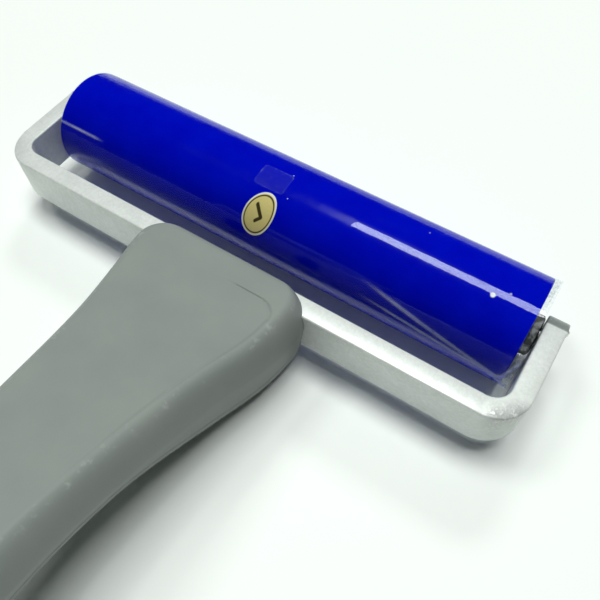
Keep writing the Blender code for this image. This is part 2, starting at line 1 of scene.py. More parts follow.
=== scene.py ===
"""Looks for the silicone cleaning roller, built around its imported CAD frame.

Every size is in metres and every place comes from the frame's own boxes.  X runs along the roller,
+Y points from the handle to the roller and +Z is up.
"""
import math

import bmesh
import bpy
from mathutils import Matrix, Vector, noise


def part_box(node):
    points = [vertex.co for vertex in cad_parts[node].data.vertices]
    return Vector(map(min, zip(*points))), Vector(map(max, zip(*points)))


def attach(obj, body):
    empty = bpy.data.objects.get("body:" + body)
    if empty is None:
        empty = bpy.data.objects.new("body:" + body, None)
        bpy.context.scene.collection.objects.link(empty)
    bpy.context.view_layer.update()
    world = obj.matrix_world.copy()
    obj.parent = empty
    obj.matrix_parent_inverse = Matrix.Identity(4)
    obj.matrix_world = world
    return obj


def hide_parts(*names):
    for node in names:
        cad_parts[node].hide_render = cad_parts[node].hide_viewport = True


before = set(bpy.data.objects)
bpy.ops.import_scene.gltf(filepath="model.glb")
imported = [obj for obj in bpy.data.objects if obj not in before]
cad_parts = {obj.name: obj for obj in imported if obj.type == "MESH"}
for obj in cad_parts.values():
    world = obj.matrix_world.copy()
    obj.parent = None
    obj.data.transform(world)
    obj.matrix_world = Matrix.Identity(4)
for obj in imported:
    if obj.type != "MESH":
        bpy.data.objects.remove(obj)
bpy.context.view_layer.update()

MM = 0.001

# Places and sizes that come from the frame.
BRACKET_LOW, BRACKET_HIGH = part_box("frame_bracket")
SLEEVE_LOW, SLEEVE_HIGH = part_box("silicone_sleeve")
FILM_LOW, FILM_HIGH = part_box("protective_film")
SHELL_LOW, SHELL_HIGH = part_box("handle_upper_shell")
STICKER_LOW, STICKER_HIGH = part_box("inspection_sticker")
TAPE_LOW, TAPE_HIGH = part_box("film_tape")
AXLE = (SLEEVE_LOW + SLEEVE_HIGH) / 2
SLEEVE_RADIUS = (SLEEVE_HIGH.z - SLEEVE_LOW.z) / 2
SLEEVE_SURFACE = SLEEVE_RADIUS + 0.33 * MM     # the soft sleeve fills the film
FILM_RADIUS = (FILM_HIGH.z - FILM_LOW.z) / 2
BAR_Y = BRACKET_LOW.y                          # the bar's outer face
BAR_TOP = BRACKET_HIGH.z
BAR_BOTTOM = BRACKET_LOW.z
BAR_HEIGHT = BAR_TOP - BAR_BOTTOM
BAR_THICKNESS = SHELL_HIGH.y - BAR_Y           # the handle's nose is flush with the bar's inner face
ARM_OUTSIDE = BRACKET_HIGH.x
ARM_END = BRACKET_HIGH.y
HANDLE_FRONT = BAR_THICKNESS
HANDLE_LENGTH = BAR_Y - SHELL_LOW.y

# The label and the tape on the film: lengths run round the roller, widths along it.
STICKER_HALF_LENGTH = 6.5 * MM
STICKER_HALF_WIDTH = 4.6 * MM
STICKER_SLANT = -0.14
TAPE_LENGTH = 6.5 * MM
LABEL_GAP = 0.02 * MM
LABEL_THICKNESS = 0.1 * MM
RIM_LINE = (0.83, 0.875)        # where the printed line runs, as shares of the oval
TICK = ((-0.30, 0.02), (-0.08, -0.26), (0.38, 0.34))
TICK_WIDTH = 0.075

# Bracket: a flat bar bent to a U.
BEND_INSIDE = 4.5 * MM
ARM_CORNER = 4.8 * MM
BAR_EDGE = 0.5 * MM
END_EDGE = 0.3 * MM
BEND_SWELL = 0.16 * MM         # a bend presses the bar's inside edge up
BEND_SINK = 0.32 * MM          # and draws its outside edge down
LEFT_BEND_SHARE = 0.25         # the left bend stretched more evenly than the right one
BURR = 0.4 * MM                # the right arm's outer corner was left with a small burr

# Handle: half sections that meet at the seam, as in the CAD.
SHOULDER = 4.9 * MM            # from the edge of the flat top panel out to the widest line
WIDEST_DEPTH = 10.4 * MM       # the widest line runs this far below the top
SIDE_DRAFT = 1.3 * MM          # the sides lean in below the widest line
BELLY_ROUNDING = 7.0 * MM
GRIP_THICKNESS = 22.0 * MM
SEAM_SHARE = 0.30
SEAM_GAP = 0.12 * MM
NOSE_CORNER = 8.0 * MM
NOSE_EDGE = 2.2 * MM
LIP_START = 4.3 * MM           # the top slopes down to the front from here, behind the bar's outer face
LIP_DROP = 2.2 * MM
FLAT_END = 10.0 * MM
GRIP_START = 60.0 * MM
TAIL_CAP = 17.0 * MM
TAIL_SIDE_POWER = 2.4
TAIL_TOP_POWER = 3.5
# Distance behind the bar's outer face, half width, and height of the top above the bar.
HANDLE_STATIONS = (
    (-5.5 * MM, 26.4 * MM, 5.5 * MM),
    (5.0 * MM, 26.4 * MM, 5.5 * MM),
    (15.0 * MM, 24.9 * MM, 5.9 * MM),
    (30.0 * MM, 21.2 * MM, 9.6 * MM),
    (48.0 * MM, 18.3 * MM, 14.3 * MM),
    (75.0 * MM, 15.7 * MM, 20.5 * MM),
    (105.0 * MM, 16.6 * MM, 27.2 * MM),
    (135.0 * MM, 16.4 * MM, 33.5 * MM),
)
CREASE_OUT = 1.3 * MM          # painted glints lie this far outside the top panel
CREASE_WIDTH = 1.1 * MM
COVER_SCREW_SEAT = 1.9 * MM    # from the screw's own end up to the step in its hole
# The panel on the handle's top has a fine moulded line round its front right corner.
PANEL_FRONT = 3.5 * MM         # behind the bar's outer face
PANEL_CORNER = 5.0 * MM
PANEL_INSET = 0.6 * MM
GROOVE_DEPTH = 0.3 * MM
GROOVE_WIDTH = 0.28 * MM
PANEL_SINK = 0.18 * MM

# Film: places round the roller are in degrees, from +Y toward +Z.
FILM_GAP = 0.06 * MM           # where it starts its turn, off the sleeve
FILM_WIND = 0.06 * MM          # how much further out it ends
FILM_SEAM = 88                 # where it starts
FILM_THICKNESS = 0.1 * MM
FILM_WAVES = 0.0015 * MM
CRUMPLE = 0.35 * MM            # depth of the crumpling at its loose right end
CRUMPLE_MIDDLE = 185
# Folds in the film: both ends (distance in from the sleeve's right end, degrees), height and width.
FOLDS = (
    ((39.0 * MM, 151), (1.0 * MM, 183), 0.05 * MM, 0.5 * MM),
    ((39.0 * MM, 168), (1.0 * MM, 184), 0.04 * MM, 0.4 * MM),
    ((-2.0 * MM, 150), (0.8 * MM, 182), 0.2 * MM, 0.5 * MM),
    ((-2.0 * MM, 215), (0.4 * MM, 186), 0.2 * MM, 0.5 * MM),
    ((-2.0 * MM, 172), (3.5 * MM, 187), 0.2 * MM, 0.45 * MM),
    ((-2.0 * MM, 198), (4.5 * MM, 180), 0.2 * MM, 0.45 * MM),
    ((152.0 * MM, 143), (135.0 * MM, 143), 0.02 * MM, 0.3 * MM),
)
# Pale spots on the film, distance in from the sleeve's right end, degrees and size: two flecks of dust,
# then two painted glints at the tape's edges.
DUST_AND_GLINT_SPOTS = (
    (11.3 * MM, 107.1, 0.75 * MM),
    (7.7 * MM, 98.7, 0.3 * MM),
    (73.0 * MM, 83.0, 0.2 * MM),
    (70.4 * MM, 110.0, 0.17 * MM),
)

# Camera: where it looks, from which side, how high and how far.
CAMERA_AIM = Vector((22.4 * MM, BAR_Y + 4.0 * MM, BAR_TOP))
CAMERA_AZIMUTH = 34.8
CAMERA_ELEVATION = 58.4
CAMERA_ROLL = -2.3
CAMERA_DISTANCE = 162.9 * MM
CAMERA_LENS = 38.2

# Room: light panels hang over a round table top.
DAYLIGHT = (0.97, 1.0, 0.975)
ROOM_LIGHT = 0.012
LIGHT_HEIGHT = 5.0
FLOOR_RADIUS = 1.5
FLOOR_DROP = 0.05 * MM


# ---------------------------------------------------------------- materials

class Look:
    """A node material: each method adds a node and gives its output socket."""

    def __init__(self, name, **plain):
        self.material = bpy.data.materials.new(name)
        self.material.use_nodes = True
        self.tree = self.material.node_tree
        self.shader = self.tree.nodes["Principled BSDF"]
        for label, value in plain.items():
            self.set(label.replace("_", " ").title(), value)
        self.place = self.tree.nodes.new("ShaderNodeTexCoord").outputs["Object"]

    def set(self, label, value):
        """Feed one of the shader's sockets, by its label."""
        self.feed(self.shader.inputs[label.replace("Ior", "IOR")], value)

    def feed(self, socket, value):
        """Put a number, a colour or another node's output on a socket."""
        if isinstance(value, bpy.types.NodeSocket):
            self.tree.links.new(value, socket)
        elif isinstance(value, tuple) and len(value) == 3 and socket.type == "RGBA":
            socket.default_value = (*value, 1.0)
        else:
            socket.default_value = value

    def node(self, kind, output, **inputs):
        made = self.tree.nodes.new(kind)
        for label, value in inputs.items():
            self.feed(made.inputs[label.replace("_", " ")], value)
        return made.outputs[output]

    def noise(self, size, detail=3.0, rough=0.5, stretch=None):
        """Soft noise, about 0.5, with blobs of this size; stretch draws it out along one axis."""
        place = self.place
        if stretch is not None:
            place = self.scaled(place, stretch)
        return self.node("ShaderNodeTexNoise", "Fac", Vector=place, Scale=1.0 / size, Detail=detail,
                         Roughness=rough)

    def scaled(self, place, factors):
        made = self.tree.nodes.new("ShaderNodeVectorMath")
        made.operation = "MULTIPLY"
        self.feed(made.inputs[0], place)
        made.inputs[1].default_value = factors
        return made.outputs["Vector"]

    def cells(self, size):
        """Distance to the nearest of many scattered points, about this far apart."""
        made = self.tree.nodes.new("ShaderNodeTexVoronoi")
        self.feed(made.inputs["Vector"], self.place)
        made.inputs["Scale"].default_value = 1.0 / size
        return made.outputs["Distance"]

    def spread(self, value, low, high, to_low=0.0, to_high=1.0):
        """Map a range of values on to another, and stop at its ends."""
        return self.node("ShaderNodeMapRange", "Result", Value=value, From_Min=low, From_Max=high,
                         To_Min=to_low, To_Max=to_high)

    def math(self, operation, first, second=0.0):
        made = self.tree.nodes.new("ShaderNodeMath")
        made.operation = operation
        self.feed(made.inputs[0], first)
        self.feed(made.inputs[1], second)
        return made.outputs["Value"]

    def blend(self, share, first, second):
        """Colour between two colours."""
        made = self.tree.nodes.new("ShaderNodeMix")
        made.data_type = "RGBA"
        self.feed(made.inputs["Factor"], share)
        self.feed(made.inputs["A"], first)
        self.feed(made.inputs["B"], second)
        return made.outputs["Result"]

    def mix_shaders(self, share, first, second):
        made = self.tree.nodes.new("ShaderNodeMixShader")
        for socket, value in zip(made.inputs, (share, first, second)):
            self.feed(socket, value)
        return made.outputs["Shader"]

    def distance(self, point):
        """How far each place is from a point on the piece."""
        made = self.tree.nodes.new("ShaderNodeVectorMath")
        made.operation = "DISTANCE"
        self.feed(made.inputs[0], self.place)
        made.inputs[1].default_value = point
        return made.outputs["Value"]

    def attribute(self, name):
        made = self.tree.nodes.new("ShaderNodeAttribute")
        made.attribute_name = name
        return made.outputs["Fac"]

    def bump(self, height, distance, before=None):
        made = self.tree.nodes.new("ShaderNodeBump")
        made.inputs["Distance"].default_value = distance
        self.feed(made.inputs["Height"], height)
        if before is not None:
            self.feed(made.inputs["Normal"], before)
        return made.outputs["Normal"]


def satin_aluminium():
    """Blasted and anodised bar: a fine grain with painted glints, mottled patches, stretch marks, and
    painted shade on the arm ends.
    """
    look = Look("satin_aluminium", metallic=0.24)
    grain = look.noise(0.35 * MM, detail=4.0, rough=0.7)
    clouds = look.noise(6.0 * MM)
    frost = look.noise(1.1 * MM, 4.0, 0.6)
    # Painted glints: sparse light flecks where the blasted grain catches the light, painted into the
    # colour.
    grain_glints = look.spread(look.noise(0.55 * MM, 5.0, 0.75), 0.55, 0.68)
    grain_glints = look.math("MULTIPLY", grain_glints, look.spread(clouds, 0.4, 0.65, 0.2, 0.9))
    marks = look.math("MULTIPLY", look.spread(look.noise(0.9 * MM, 4.0, 0.6), 0.5, 0.64),
                      look.attribute("bend"))
    # Painted glints: the grain's flecks and the stretch marks in the bends are coloured nearly white, as if
    # catching the light.
    glint_flecks = look.math("MAXIMUM", look.math("MULTIPLY", marks, 0.75), look.math("MULTIPLY", grain_glints, 0.6))
    mottle = look.math("ADD", look.math("MULTIPLY", clouds, 0.4), look.math("MULTIPLY", frost, 0.6))
    color = look.blend(look.spread(mottle, 0.38, 0.62), (0.70, 0.735, 0.71), (0.80, 0.835, 0.81))
    color = look.blend(look.math("MULTIPLY", look.attribute("bend"), 0.7), color, (0.34, 0.36, 0.345))
    # Painted shade: the arm ends face away from the light and are coloured dark.
    color = look.blend(look.math("MULTIPLY", look.attribute("ground"), 0.9), color, (0.2, 0.225, 0.215))
    look.set("Base Color", look.blend(glint_flecks, color, (0.97, 0.98, 0.97)))
    rough = look.spread(grain, 0.3, 0.7, 0.3, 0.4)
    look.set("Roughness", look.math("SUBTRACT", rough, look.math("MULTIPLY", glint_flecks, 0.12)))
    fine = look.bump(grain, 0.035 * MM)
    look.set("Normal", look.bump(marks, 0.1 * MM, fine))
    return look.material


def grey_plastic():
    """Moulded ABS with a fine matt texture, faint flow clouds, a few specks and painted glints along its
    crease.
    """
    look = Look("grey_plastic", specular_ior_level=0.25)
    clouds = look.noise(14.0 * MM, detail=4.0)
    texture = look.noise(0.3 * MM, detail=3.0, rough=0.6)
    specks = look.spread(look.cells(9.0 * MM), 0.02, 0.03, 1.0, 0.0)
    color = look.blend(look.spread(clouds, 0.3, 0.7), (0.225, 0.25, 0.236), (0.25, 0.272, 0.256))
    # Painted glints: light patches along the crease, where the top turns into the sides and catches the
    # light. light holds these and the specks.
    crease_glints = look.spread(look.noise(2.6 * MM, 4.0, 0.65), 0.56, 0.72)
    crease_glint_share = look.math("MULTIPLY", crease_glints, look.attribute("crease"))
    light = look.math("MAXIMUM", look.math("MULTIPLY", specks, 0.4), look.math("MULTIPLY", crease_glint_share, 0.32))
    look.set("Base Color", look.blend(light, color, (0.55, 0.58, 0.555)))
    look.set("Roughness", look.spread(clouds, 0.3, 0.7, 0.42, 0.52))
    look.set("Normal", look.bump(texture, 0.02 * MM))
    return look.material


def blue_silicone():
    look = Look("blue_silicone", ior=1.4, specular_ior_level=0.1)
    clouds = look.noise(9.0 * MM)
    color = look.blend(look.spread(clouds, 0.3, 0.7), (0.0, 0.002, 0.44), (0.0, 0.004, 0.49))
    look.set("Base Color", color)
    look.set("Roughness", look.spread(look.noise(2.0 * MM), 0.3, 0.7, 0.12, 0.2))
    look.set("Normal", look.bump(look.noise(3.0 * MM), 0.02 * MM))
    return look.material


def clear_film():
    """Thin clear film: it mirrors more at a slant, its folds carry a painted pale blue reflection over a
    little clouding, and it carries some dust and a few painted glints.
    """
    look = Look("clear_film")
    tree = look.tree
    weight = look.node("ShaderNodeLayerWeight", "Facing", Blend=0.5)
    slant = look.math("POWER", weight, 5.0)
    mirror = look.math("MULTIPLY", look.spread(slant, 0.0, 1.0, 0.022, 0.2), look.attribute("outer"))
    gloss = look.node("ShaderNodeBsdfGlossy", "BSDF", Color=(0.95, 0.97, 1.0), Roughness=0.015)
    clear = look.node("ShaderNodeBsdfTransparent", "BSDF", Color=(0.97, 0.98, 0.985))
    # Hazy white where the loose end is crumpled; pale blue along the folds, a painted reflection of the
    # light on their slopes, over a little clouding of the creased film.
    haze_and_fold_tint = look.blend(look.attribute("fold"), (0.82, 0.86, 0.88), (0.46, 0.5, 1.0))
    haze_and_fold_reflection = look.node("ShaderNodeBsdfDiffuse", "BSDF", Color=haze_and_fold_tint)
    dust_and_glints = look.math("MULTIPLY", look.spread(look.cells(9.0 * MM), 0.012, 0.025, 1.0, 0.0), 0.5)
    # Pale spots: the first two are dust, the last two are painted glints at the tape's edges.
    for from_end, degrees, size in DUST_AND_GLINT_SPOTS:
        spot_distance = look.distance(on_roller(SLEEVE_HIGH.x - from_end, degrees, SLEEVE_SURFACE))
        dust_and_glints = look.math("MAXIMUM", dust_and_glints, look.spread(spot_distance, 0.7 * size, size, 0.8, 0.0))
    patches = look.spread(look.noise(1.6 * MM, 2.0), 0.46, 0.6, 0.03, 0.22)
    loose = look.math("MULTIPLY", look.attribute("loose"), patches)
    streaks = look.spread(look.noise(4.0 * MM), 0.3, 0.7, 0.32, 0.52)
    folds = look.math("MULTIPLY", look.attribute("fold"), streaks)
    cover = look.math("MAXIMUM", dust_and_glints, look.math("MAXIMUM", loose, folds))
    thin = look.mix_shaders(cover, clear, haze_and_fold_reflection)
    whole = look.mix_shaders(mirror, thin, gloss)
    tree.nodes.remove(look.shader)
    tree.links.new(whole, tree.nodes["Material Output"].inputs["Surface"])
    return look.material


def clear_tape():
    """Nearly invisible tape: only its cut edge and a few wrinkles catch the light."""
    look = Look("clear_tape", roughness=0.2)
    wrinkles = look.spread(look.noise(1.2 * MM, 4.0), 0.5, 0.7)
    look.set("Base Color", look.blend(wrinkles, (0.45, 0.5, 0.8), (0.8, 0.84, 0.95)))
    edge = look.math("MULTIPLY", look.attribute("edge"), look.spread(wrinkles, 0.0, 1.0, 0.02, 0.1))
    look.set("Alpha", look.math("ADD", edge, 0.01))
    return look.material


def gold_paper():
    """Printed label: a gold oval with a pale rim, a dark line round it and a dark tick."""
    look = Look("gold_paper", metallic=0.15, roughness=0.4)
    fibre = look.noise(0.5 * MM, detail=4.0)
    gold = look.blend(fibre, (0.66, 0.56, 0.20), (0.76, 0.66, 0.27))
    paper = look.blend(look.attribute("rim"), gold, (0.84, 0.83, 0.70))
    look.set("Base Color", look.blend(look.attribute("ink"), paper, (0.05, 0.04, 0.012)))
    look.set("Roughness", look.spread(fibre, 0.3, 0.7, 0.35, 0.5))
    return look.material


def machined(name, color, roughness, metallic=1.0):
    """Turned or pressed metal: fine rings, a little uneven polish and a faint tarnish."""
    look = Look(name, metallic=metallic)
    lathe = look.noise(0.25 * MM, detail=2.0, stretch=(6.0, 1.0, 1.0))
    stain = look.noise(3.0 * MM)
    dark = tuple(channel * 0.8 for channel in color)
    look.set("Base Color", look.blend(look.spread(stain, 0.3, 0.7), dark, color))
    look.set("Roughness", look.spread(lathe, 0.3, 0.7, roughness * 0.8, roughness * 1.25))
    look.set("Normal", look.bump(lathe, 0.01 * MM))
    return look.material


# ---------------------------------------------------------------- mesh helpers

def add_piece(name, verts, faces, look, sharp_degrees=30.0):
    """A smooth-shaded mesh with this material; edges sharper than sharp_degrees stay sharp."""
    mesh = bpy.data.meshes.new(name)
    mesh.from_pydata([tuple(vert) for vert in verts], [], faces)
    bm = bmesh.new()
    bm.from_mesh(mesh)
    bmesh.ops.recalc_face_normals(bm, faces=bm.faces)
    bm.to_mesh(mesh)
    bm.free()
    mesh.shade_smooth()
    mesh.set_sharp_from_angle(angle=math.radians(sharp_degrees))
    mesh.materials.append(look)
    piece = bpy.data.objects.new(name, mesh)
    bpy.context.scene.collection.objects.link(piece)
    return piece


def loft(name, rings, look, capped=True, sharp_degrees=30.0):
    """A piece through closed rings of equal length: capped at both ends, or closed on itself."""
    count = len(rings[0])
    verts = [point for ring in rings for point in ring]
    pairs = list(zip(range(len(rings)), range(1, len(rings))))
    if not capped:
        pairs.append((len(rings) - 1, 0))
    faces = []
    for first, second in pairs:
        for i in range(count):
            j = (i + 1) % count
            faces.append((first * count + i, first * count + j, second * count + j, second * count + i))
    if capped:
        faces.append(tuple(range(count)))
        faces.append(tuple(range(len(verts) - count, len(verts))))
    return add_piece(name, verts, faces, look, sharp_degrees)


def turned(name, profile, place, direction, sides=48):
    """Solid of revolution from (distance along the axis, radius) points, with flat ends."""
    turn = Matrix.Translation(place) @ Vector(direction).to_track_quat("X", "Z").to_matrix().to_4x4()
    rings = []
    for along_axis, radius in profile:
        rings.append([turn @ Vector((along_axis, radius * math.cos(a), radius * math.sin(a)))
                      for a in (2 * math.pi * i / sides for i in range(sides))])
    return loft(name, rings, None)


def cut(piece, cutters):
    """Cut the cutters out of a piece for good, and remove them."""
    for cutter in cutters:
        step = piece.modifiers.new(cutter.name, "BOOLEAN")
        step.operation = "DIFFERENCE"
        step.solver = "EXACT"
        step.object = cutter
    bpy.context.view_layer.update()
    whole = piece.evaluated_get(bpy.context.evaluated_depsgraph_get())
    mesh = bpy.data.meshes.new_from_object(whole)
    piece.modifiers.clear()
    piece.data = mesh
    for cutter in cutters:
        bpy.data.objects.remove(cutter)


def paint(piece, name, shares):
    """Give a piece an attribute that its material reads: a share, 0 to 1, for each of its points."""
    piece.data.attributes.new(name, "FLOAT", "POINT").data.foreach_set("value", shares)


def smooth_step(value, low, high):
    """0 below low and 1 above high, with a smooth rise between them."""
    share = min(max((value - low) / (high - low), 0.0), 1.0)
    return share * share * (3.0 - 2.0 * share)


def steps(start, end, longest):
    """Even steps from start, the end left out, none longer than this."""
    count = max(1, math.ceil(abs(end - start) / longest))
    return [start + (end - start) * i / count for i in range(count)]


def quarter_turn(parts):
    """(cosine, sine) pairs from 0 to 90 degrees."""
    angles = [math.radians(90.0) * i / parts for i in range(parts + 1)]
    return [(math.cos(angle), math.sin(angle)) for angle in angles]


# ---------------------------------------------------------------- camera, floor and light

def build_camera():
    data = bpy.data.cameras.new("camera")
    data.lens = CAMERA_LENS
    data.clip_start = 5 * MM
    camera = bpy.data.objects.new("camera", data)
    bpy.context.scene.collection.objects.link(camera)
    turn = (Matrix.Rotation(math.radians(CAMERA_AZIMUTH), 4, "Z")
            @ Matrix.Rotation(math.radians(90 - CAMERA_ELEVATION), 4, "X")
            @ Matrix.Rotation(math.radians(CAMERA_ROLL), 4, "Z"))
    camera.matrix_world = (Matrix.Translation(CAMERA_AIM) @ turn
                           @ Matrix.Translation((0, 0, CAMERA_DISTANCE)))
    bpy.context.scene.camera = camera


def ceiling_panel(name, place, size, light, height=LIGHT_HEIGHT, mirrored=False):
    """A panel overhead: its place and size are shares of its height, light is what a level face gets."""
    across, along = place
    data = bpy.data.lights.new(name, "AREA")
    data.shape = "RECTANGLE"
    data.size = size[0] * height
    data.size_y = size[1] * height
    data.energy = light * math.pi * (height * (1.0 + across ** 2 + along ** 2)) ** 2
    data.color = DAYLIGHT
    panel = bpy.data.objects.new(name, data)
    panel.location = CAMERA_AIM + Vector((across, along, 1.0)) * height
    panel.visible_glossy = mirrored
    bpy.context.scene.collection.objects.link(panel)


def build_lights():
    """A panel that the roller mirrors, below all the others, and softer light from the rest of the room."""
    square = (0.31, 0.31)
    ceiling_panel("main_panel", (0.15, 0.10), square, 1.36)
    ceiling_panel("low_panel", (-0.125, 0.172), (0.34, 0.255), 1.22, 0.96 * LIGHT_HEIGHT, mirrored=True)
    ceiling_panel("left_wall", (-0.6, 0.0), square, 0.6)
    ceiling_panel("far_wall", (-0.3, 1.0), square, 0.42)


def build_world():
    """The room: nearly dark as a light, and pale where the camera sees it behind the floor."""
    world = bpy.data.worlds.new("room")
    world.use_nodes = True
    tree = world.node_tree
    dim = tree.nodes["Background"]
    dim.inputs["Color"].default_value = (*DAYLIGHT, 1.0)
    dim.inputs["Strength"].default_value = ROOM_LIGHT
    pale = tree.nodes.new("ShaderNodeBackground")
    pale.inputs["Color"].default_value = (*DAYLIGHT, 1.0)
    seen = tree.nodes.new("ShaderNodeMixShader")
    tree.links.new(tree.nodes.new("ShaderNodeLightPath").outputs["Is Camera Ray"], seen.inputs[0])
    tree.links.new(dim.outputs[0], seen.inputs[1])
    tree.links.new(pale.outputs[0], seen.inputs[2])
    tree.links.new(seen.outputs[0], tree.nodes["World Output"].inputs["Surface"])
    bpy.context.scene.world = world


def build_floor():
    """A smooth round pale table top with a very faint unevenness."""
    look = Look("floor_white", roughness=0.6)
    look.set("Base Color", look.blend(look.noise(0.12), (0.86, 0.895, 0.87), (0.885, 0.91, 0.89)))
    bm = bmesh.new()
    bmesh.ops.create_circle(bm, cap_ends=True, segments=128, radius=FLOOR_RADIUS)
    mesh = bpy.data.meshes.new("floor")
    bm.to_mesh(mesh)
    bm.free()
    mesh.materials.append(look.material)
    floor = bpy.data.objects.new("floor", mesh)
    floor.location = (CAMERA_AIM.x, CAMERA_AIM.y, -FLOOR_DROP)
    bpy.context.scene.collection.objects.link(floor)


# ---------------------------------------------------------------- bracket

def bar_ring(centre, outward, half_height, inset, bend):
    """Section of the bar: a rectangle with round edges, which swells inside a bend and sinks outside it."""
    half = BAR_THICKNESS / 2 - inset
    half_height -= inset
    points = []
    for out_sign, up_sign, start in ((1, 1, 0), (-1, 1, 90), (-1, -1, 180), (1, -1, 270)):
        for part in range(5):
            angle = math.radians(start + 90 * part / 4)
            out = out_sign * (half - BAR_EDGE) + BAR_EDGE * math.cos(angle)
            up = up_sign * (half_height - BAR_EDGE) + BAR_EDGE * math.sin(angle)
            tilt = (BEND_SWELL - BEND_SINK) / 2 - (BEND_SWELL + BEND_SINK) / 2 * out / half
            points.append(centre + outward * out + Vector((0, 0, up + up_sign * bend * tilt)))
    return points


def corner_loss(distance, radius):
    """How far a corner of this radius falls back, at a distance from the face where it ends."""
    into = min(max(1.0 - distance / radius, 0.0), 1.0)
    return radius * (1.0 - math.sqrt(1.0 - into * into))


def bar_stations():
    """Half of the U from the right arm's end to the middle: centre, outward, half height, inset, bend."""
    middle_x = ARM_OUTSIDE - BAR_THICKNESS / 2
    bend = BEND_INSIDE + BAR_THICKNESS / 2
    back_y = BAR_Y + BAR_THICKNESS / 2
    half = BAR_HEIGHT / 2
    for share in (0.0, 0.008, 0.025, 0.06, 0.11, 0.18, 0.27, 0.38, 0.5, 0.6, 0.7, 0.8, 0.9, 0.96, 1.0):
        back = share * ARM_CORNER
        inset = corner_loss(back, END_EDGE)
        yield (Vector((middle_x, ARM_END - back, AXLE.z)), Vector((1, 0, 0)),
               half - corner_loss(back, ARM_CORNER), inset, 0.0)
    bend_y = back_y + bend
    for y in steps(ARM_END - ARM_CORNER, bend_y, 1.0 * MM)[1:]:
        yield Vector((middle_x, y, AXLE.z)), Vector((1, 0, 0)), half, 0.0, 0.0
    turns = 28
    for turn in range(turns + 1):
        angle = math.radians(90.0) * turn / turns
        outward = Vector((math.cos(angle), -math.sin(angle), 0))
        centre = Vector((middle_x - bend, bend_y, AXLE.z)) + outward * bend
        yield centre, outward, half, 0.0, math.sin(2 * angle) ** 0.5 if 0 < turn < turns else 0.0
    for x in steps(middle_x - bend, 0.0, 2.0 * MM)[1:]:
        yield Vector((x, back_y, AXLE.z)), Vector((0, -1, 0)), half, 0.0, 0.0
    yield Vector((0.0, back_y, AXLE.z)), Vector((0, -1, 0)), half, 0.0, 0.0


def countersunk_hole(name, head_node, direction, clearance=0.05 * MM):
    """A hole that fits a countersunk CAD screw, whose head is at the end the direction comes from."""
    low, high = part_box(head_node)
    axis = Vector(direction)
    middle = (low + high) / 2
    reach = abs((high - low).dot(axis)) / 2
    start = middle - axis * reach
    across = [abs(size) for size, part in zip(high - low, axis) if abs(part) < 0.5]
    head = min(across) / 2 + clearance
    shank = head / 2 + clearance
    profile = ((-1.0 * MM, head), (0.0, head), (head - shank, shank), (2 * reach, shank))
    return turned(name, profile, start, axis)


def build_bracket(look):
    half = [bar_ring(*station) for station in bar_stations()]
    other = [[Vector((-p.x, p.y, p.z)) for p in ring] for ring in reversed(half[:-1])]
    for ring in half:
        for point in ring:
            point.x += burr(point)
    bracket = loft("bracket", half + other, look)
    holes = []
    for side, toward in (("left", 1), ("right", -1)):
        holes.append(countersunk_hole(f"axle_hole_{side}", f"axle_screw_{side}", (toward, 0, 0)))
        holes.append(countersunk_hole(f"nose_hole_{side}", f"bracket_screw_{side}", (0, -1, 0)))
    cut(bracket, holes)
    paint(bracket, "bend", [bend_share(vert.co) for vert in bracket.data.vertices])
    paint(bracket, "ground", [arm_end_shade_share(vert.co) for vert in bracket.data.vertices])
    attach(bracket, "handle_frame")
    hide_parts("frame_bracket")


def burr(point):
    """How far the cut left the metal standing out, on the right arm's outer top corner."""
    near = smooth_step(point.x, ARM_OUTSIDE - 0.8 * MM, ARM_OUTSIDE - 0.2 * MM)
    near *= smooth_step(point.z, BAR_TOP - 3.0 * MM, BAR_TOP - 0.8 * MM)
    behind = ARM_END - ARM_CORNER - point.y
    near *= 1.0 - smooth_step(abs(behind + 0.3 * MM), 0.2 * MM, 1.0 * MM)
    return BURR * near * (0.7 + 0.6 * noise.noise(point / (0.7 * MM)))


def bend_share(point):
    """Up to 1 on the outer top edge of a bend, where the metal stretched."""
    x = abs(point.x) - (ARM_OUTSIDE - BAR_THICKNESS - BEND_INSIDE)
    y = BAR_Y + BAR_THICKNESS + BEND_INSIDE - point.y
    if x <= 0 or y <= 0:
        return 0.0
    radius = math.hypot(x, y)
    share = smooth_step(radius, BEND_INSIDE + 2.5 * MM, BEND_INSIDE + BAR_THICKNESS - 0.5 * MM)
    share *= smooth_step(point.z, BAR_TOP - 1.5 * MM, BAR_TOP - 0.4 * MM)
    share *= smooth_step(min(x, y) / radius, 0.05, 0.5)
    return share * LEFT_BEND_SHARE if point.x < 0 else share


def arm_end_shade_share(point):
    """1 on the arm ends' corners and end faces, which face away from the light: their colour is painted
    dark there as shade.
    """
    start = ARM_END - ARM_CORNER
    return smooth_step(point.y, start, start + 0.3 * MM)


# ---------------------------------------------------------------- handle

def station_value(column, behind):
    """Smooth curve through one column of the handle's stations."""
    stations = HANDLE_STATIONS
    last = len(stations) - 1
    start = 0
    while start < last - 1 and stations[start + 1][0] < behind:
        start += 1

    def slope(i):
        before, after = stations[max(i - 1, 0)], stations[min(i + 1, last)]
        return (after[column] - before[column]) / (after[0] - before[0])

    here, there = stations[start], stations[start + 1]
    span = there[0] - here[0]
    t = (behind - here[0]) / span
    value = here[column] * (1 + 2 * t) * (1 - t) ** 2 + there[column] * t * t * (3 - 2 * t)
    return value + span * t * (1 - t) * (slope(start) * (1 - t) - slope(start + 1) * t)


def half_width(behind):
    """Half the width at the widest line, with the nose's corners rounded."""
    return station_value(1, behind) - corner_loss(behind + HANDLE_FRONT, NOSE_CORNER)


def top_height(behind):
    return BAR_TOP + station_value(2, behind)


def underside_height(behind):
    return (top_height(behind) - GRIP_THICKNESS) * smooth_step(behind, FLAT_END, GRIP_START)


